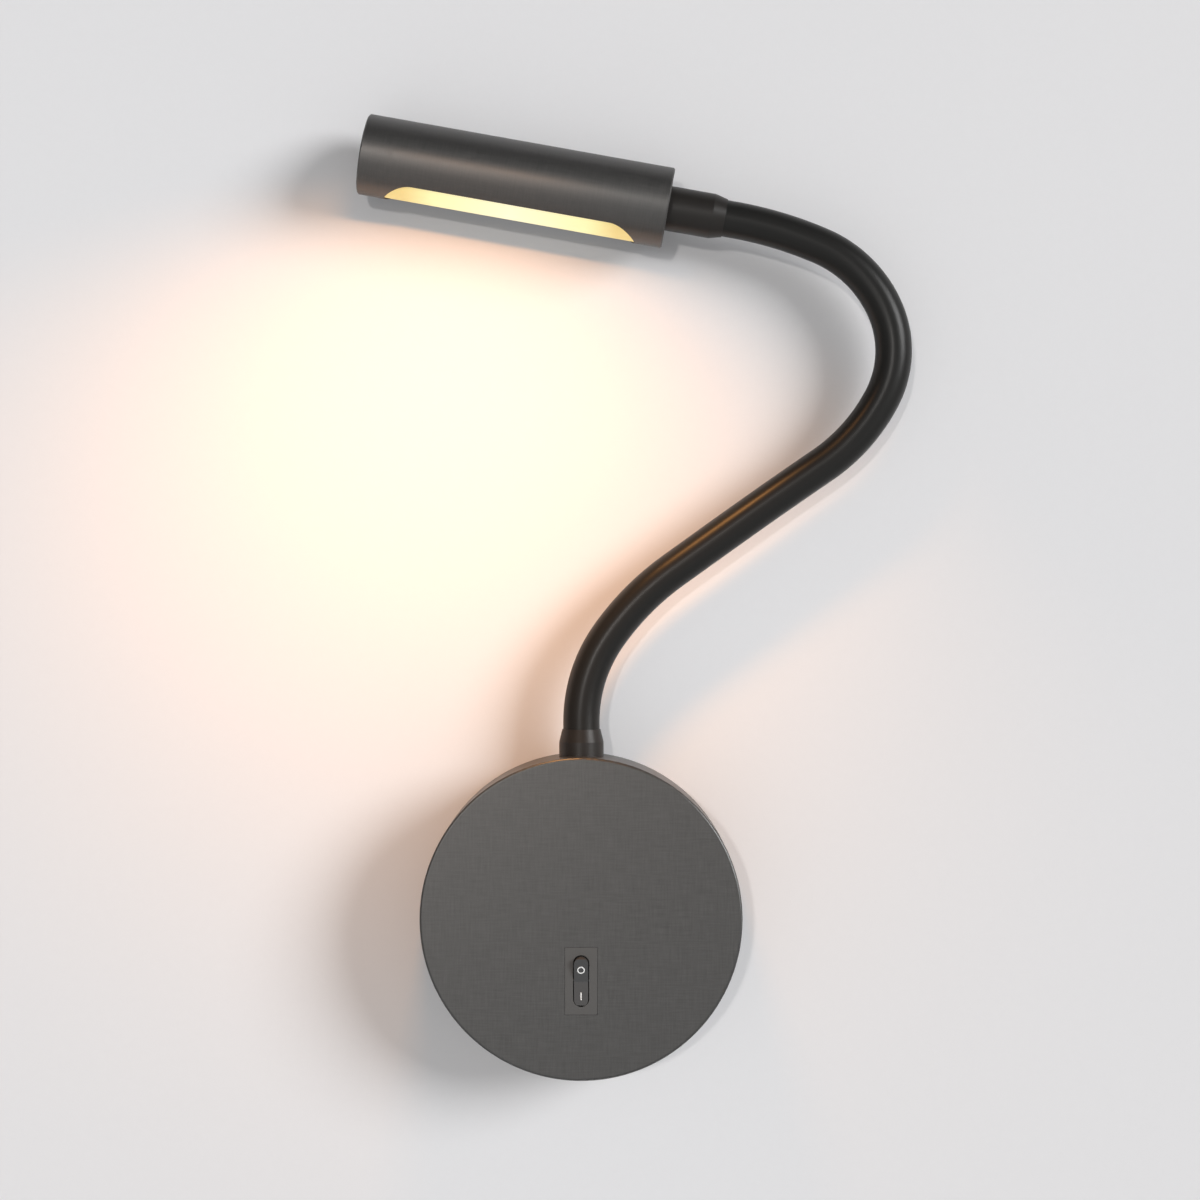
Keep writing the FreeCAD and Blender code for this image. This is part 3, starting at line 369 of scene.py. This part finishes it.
PIVOT = Vector(joints["switch_rocker"]["pos_m"])
BEZEL_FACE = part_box("switch_housing")[0].y
THROW = math.radians(abs(joints["switch_rocker"]["range_deg"][0]))
RING_RISE = 3.5 * MM
BAR_DROP = 4.7 * MM
RING_OUTER, RING_INNER = 1.15 * MM, 0.84 * MM
BAR_HEIGHT, BAR_WIDTH = 2.4 * MM, 0.3 * MM
PAINT_THICKNESS = 0.04 * MM
MARK_POINTS = 48


def mark(name, outlines, middle, lean):
    """A thin layer of paint between closed outlines, leaning with the face that it is on."""
    mesh = bpy.data.meshes.new(name)
    work = bmesh.new()
    loops = [[[work.verts.new((x, depth, z)) for x, z in outline] for outline in outlines]
             for depth in (0, -PAINT_THICKNESS)]
    back, front = loops
    for outline_back, outline_front in zip(back, front):
        for step in range(len(outline_back)):
            ahead = (step + 1) % len(outline_back)
            work.faces.new((outline_back[step], outline_back[ahead], outline_front[ahead],
                            outline_front[step]))
    for layer in loops:
        if len(layer) == 1:
            work.faces.new(layer[0])
            continue
        for step in range(len(layer[0])):
            ahead = (step + 1) % len(layer[0])
            work.faces.new((layer[0][step], layer[0][ahead], layer[1][ahead], layer[1][step]))
    bmesh.ops.recalc_face_normals(work, faces=work.faces)
    work.to_mesh(mesh)
    work.free()
    made = bpy.data.objects.new(name, mesh)
    made.matrix_world = Matrix.Translation(middle) @ Matrix.Rotation(lean, 4, "X")
    scene.collection.objects.link(made)
    paint(made, MATERIALS["mark_paint"])
    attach(made, "rocker")


def circle(radius):
    turns = [2 * math.pi * step / MARK_POINTS for step in range(MARK_POINTS)]
    return [(radius * math.cos(turn), radius * math.sin(turn)) for turn in turns]


def obround(width, height):
    radius = width / 2
    straight = height / 2 - radius
    return [(x, y + math.copysign(straight, y)) for x, y in circle(radius)]


# At rest the rocker's lower half is flush with the bezel, and its upper half leans out
crown = PIVOT.z - (PIVOT.y - BEZEL_FACE) * math.tan(THROW / 2)
ring_middle = Vector((PIVOT.x, BEZEL_FACE, PIVOT.z + RING_RISE))
ring_middle.y -= (ring_middle.z - crown) * math.tan(THROW)
bar_middle = Vector((PIVOT.x, BEZEL_FACE, PIVOT.z - BAR_DROP))
mark("switch_off_ring", [circle(RING_OUTER), circle(RING_INNER)], ring_middle, THROW)
mark("switch_on_bar", [obround(BAR_WIDTH, BAR_HEIGHT)], bar_middle, 0)


# Room: a pale wall that shows from the front only

WALL_HALF = 1.6
WALL_GAP = 0.1 * MM
WALL_COLOUR = (0.75, 0.75, 0.765)
WALL_ROUGHNESS = 0.9


def make_wall():
    mesh = bpy.data.meshes.new("wall")
    corners = [(side * WALL_HALF, WALL_GAP, up * WALL_HALF)
               for side, up in ((-1, -1), (1, -1), (1, 1), (-1, 1))]
    mesh.from_pydata(corners, [], [(0, 1, 2, 3)])
    wall = bpy.data.objects.new("wall", mesh)
    scene.collection.objects.link(wall)
    wall.visible_shadow = False
    made = finish("wall_plaster", WALL_COLOUR, WALL_ROUGHNESS, FINE, tone=0.01, bump=0.02,
                  specular=0.0)
    tree = made.node_tree
    add, link = node_maker(tree), tree.links.new
    side = add("ShaderNodeNewGeometry")
    clear = add("ShaderNodeBsdfTransparent")
    choose = add("ShaderNodeMixShader")
    link(side.outputs["Backfacing"], choose.inputs["Fac"])
    link(tree.nodes["Principled BSDF"].outputs["BSDF"], choose.inputs[1])
    link(clear.outputs["BSDF"], choose.inputs[2])
    link(choose.outputs["Shader"], tree.nodes["Material Output"].inputs["Surface"])
    paint(wall, made)


make_wall()


# Light: a soft key from the right, a weak light from the front, a softbox for sheen, the pale
# room, and the lamp's own light on the wall

ROOM_SIDES, ROOM_FRONT, ROOM_BACK = 0.2, 0.47, 0.9
ROOM_SLOPE = 0.95
BACKGROUND = 0.8
WHITE = (1, 1, 1, 1)
KEY_STRENGTH = 2.45
KEY_FROM = Vector((38, -28, 13.5))
KEY_SOFTNESS = math.radians(26)
KEY_COLOUR = (1.0, 1.0, 1.0)
# A weaker, harder light from the front leaves thin second shadows on the wall
FRONT_STRENGTH = 0.52
FRONT_FROM = Vector((-0.2, -1, 0.15))
FRONT_SOFTNESS = math.radians(3)
FRONT_COLOUR = (1.0, 0.96, 0.92)
# A softbox only adds sheen, which slopes across the base's face
SLOPE_PLACE = Vector((-200, -760, 120)) * MM
SLOPE_SIZE = 160 * MM
SLOPE_ENERGY = 0.3
SLOPE_COLOUR = (1.0, 0.98, 0.96)
# The lamp's light comes from above and in front of the tube, so that the tube shades the wall
GLOW_ALONG, GLOW_RISE, GLOW_FORWARD = 13 * MM, 18 * MM, 80 * MM
GLOW_LEAN = math.radians(18)
GLOW_SPREAD = math.radians(118)
GLOW_LENGTH, GLOW_WIDTH = 60 * MM, 8 * MM
GLOW_ENERGY = 23
GLOW_COLOUR = (1.0, 0.45, 0.14)
GLOW_REACH = 160 * MM
GLOW_FADE = 1.58


def aimed_at(way):
    return way.to_track_quat("-Z", "Y").to_matrix().to_4x4()


def make_sun(name, way, strength, softness, colour):
    light = bpy.data.lights.new(name, "SUN")
    light.energy = strength
    light.angle = softness
    light.color = colour
    made = bpy.data.objects.new(name, light)
    made.matrix_world = aimed_at(-way)
    scene.collection.objects.link(made)


def make_softbox(name, place, size, energy, colour):
    light = bpy.data.lights.new(name, "AREA")
    light.size = size
    light.energy = energy
    light.color = colour
    made = bpy.data.objects.new(name, light)
    made.matrix_world = Matrix.Translation(place) @ aimed_at(-FORWARD)
    made.visible_camera = False
    made.visible_diffuse = False
    scene.collection.objects.link(made)


def make_world():
    """A pale room: dim at the sides, brighter in front and brightest behind, and dim above."""
    world = bpy.data.worlds.new("room")
    scene.world = world
    world.use_nodes = True
    tree = world.node_tree
    add, link = node_maker(tree), tree.links.new
    place = add("ShaderNodeTexCoord")
    axes = add("ShaderNodeSeparateXYZ")
    front = add("ShaderNodeMapRange", {"From Min": 0, "From Max": -1,
                                       "To Min": ROOM_SIDES, "To Max": ROOM_FRONT})
    height = add("ShaderNodeMapRange", {"From Min": -1, "From Max": 1,
                                        "To Min": 1 + ROOM_SLOPE, "To Max": 1 - ROOM_SLOPE})
    back = add("ShaderNodeMapRange", {"From Min": 0, "From Max": 1,
                                      "To Min": 0, "To Max": ROOM_BACK})
    around = add("ShaderNodeMath", operation="ADD")
    level = add("ShaderNodeMath", operation="MULTIPLY")
    link(place.outputs["Generated"], axes.inputs["Vector"])
    link(axes.outputs["Y"], front.inputs["Value"])
    link(axes.outputs["Y"], back.inputs["Value"])
    link(axes.outputs["Z"], height.inputs["Value"])
    link(front.outputs["Result"], around.inputs[0])
    link(back.outputs["Result"], around.inputs[1])
    link(around.outputs["Value"], level.inputs[0])
    link(height.outputs["Result"], level.inputs[1])
    link(level.outputs["Value"], tree.nodes["Background"].inputs["Strength"])
    tree.nodes["Background"].inputs["Color"].default_value = WHITE
    seen = add("ShaderNodeBackground", {"Color": (BACKGROUND, BACKGROUND, BACKGROUND, 1)})
    path = add("ShaderNodeLightPath")
    choose = add("ShaderNodeMixShader")
    link(path.outputs["Is Camera Ray"], choose.inputs["Fac"])
    link(tree.nodes["Background"].outputs["Background"], choose.inputs[1])
    link(seen.outputs["Background"], choose.inputs[2])
    link(choose.outputs["Shader"], tree.nodes["World Output"].inputs["Surface"])


def make_glow():
    """The window's light, which fades with the length of its rays by a curve of its own."""
    light = bpy.data.lights.new("window_glow", "AREA")
    light.shape = "RECTANGLE"
    light.size, light.size_y = GLOW_LENGTH, GLOW_WIDTH
    light.spread = GLOW_SPREAD
    light.energy = GLOW_ENERGY
    light.color = GLOW_COLOUR
    light.use_nodes = True
    tree = light.node_tree
    add, link = node_maker(tree), tree.links.new
    falloff = add("ShaderNodeLightFalloff", {"Strength": 1})
    path = add("ShaderNodeLightPath")
    share = add("ShaderNodeMath", {1: GLOW_REACH}, operation="DIVIDE")
    power = add("ShaderNodeMath", {1: GLOW_FADE}, operation="POWER")
    minus = add("ShaderNodeMath", {1: -1}, operation="MULTIPLY")
    fade = add("ShaderNodeMath", operation="EXPONENT")
    strength = add("ShaderNodeMath", operation="MULTIPLY")
    link(path.outputs["Ray Length"], share.inputs[0])
    link(share.outputs["Value"], power.inputs[0])
    link(power.outputs["Value"], minus.inputs[0])
    link(minus.outputs["Value"], fade.inputs[0])
    link(fade.outputs["Value"], strength.inputs[0])
    link(falloff.outputs["Constant"], strength.inputs[1])
    link(strength.outputs["Value"], tree.nodes["Emission"].inputs["Strength"])
    made = bpy.data.objects.new("window_glow", light)
    line = along(HEAD_ANGLE)
    place = HEAD_MIDDLE + line * GLOW_ALONG - WINDOW_WAY * GLOW_RISE + FORWARD * GLOW_FORWARD
    way = WINDOW_WAY * math.cos(GLOW_LEAN) - FORWARD * math.sin(GLOW_LEAN)
    axes = Matrix((line, line.cross(way), -way)).transposed()
    made.matrix_world = Matrix.Translation(place) @ axes.to_4x4()
    made.visible_camera = False
    scene.collection.objects.link(made)
    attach(made, "head")


make_sun("key", KEY_FROM, KEY_STRENGTH, KEY_SOFTNESS, KEY_COLOUR)
make_sun("front", FRONT_FROM, FRONT_STRENGTH, FRONT_SOFTNESS, FRONT_COLOUR)
make_softbox("face_slope", SLOPE_PLACE, SLOPE_SIZE, SLOPE_ENERGY, SLOPE_COLOUR)
make_world()
make_glow()


# Camera: square on to the wall

CAMERA_PLACE = Vector((5.85, -776, 98.8)) * MM
LENS = 72.6
CLIP_START = 10 * MM

camera = bpy.data.objects.new("camera", bpy.data.cameras.new("camera"))
camera.data.lens = LENS
camera.data.clip_start = CLIP_START
camera.location = CAMERA_PLACE
camera.rotation_euler = (math.pi / 2, 0, 0)
scene.collection.objects.link(camera)
scene.camera = camera
scene.view_settings.view_transform = "Standard"
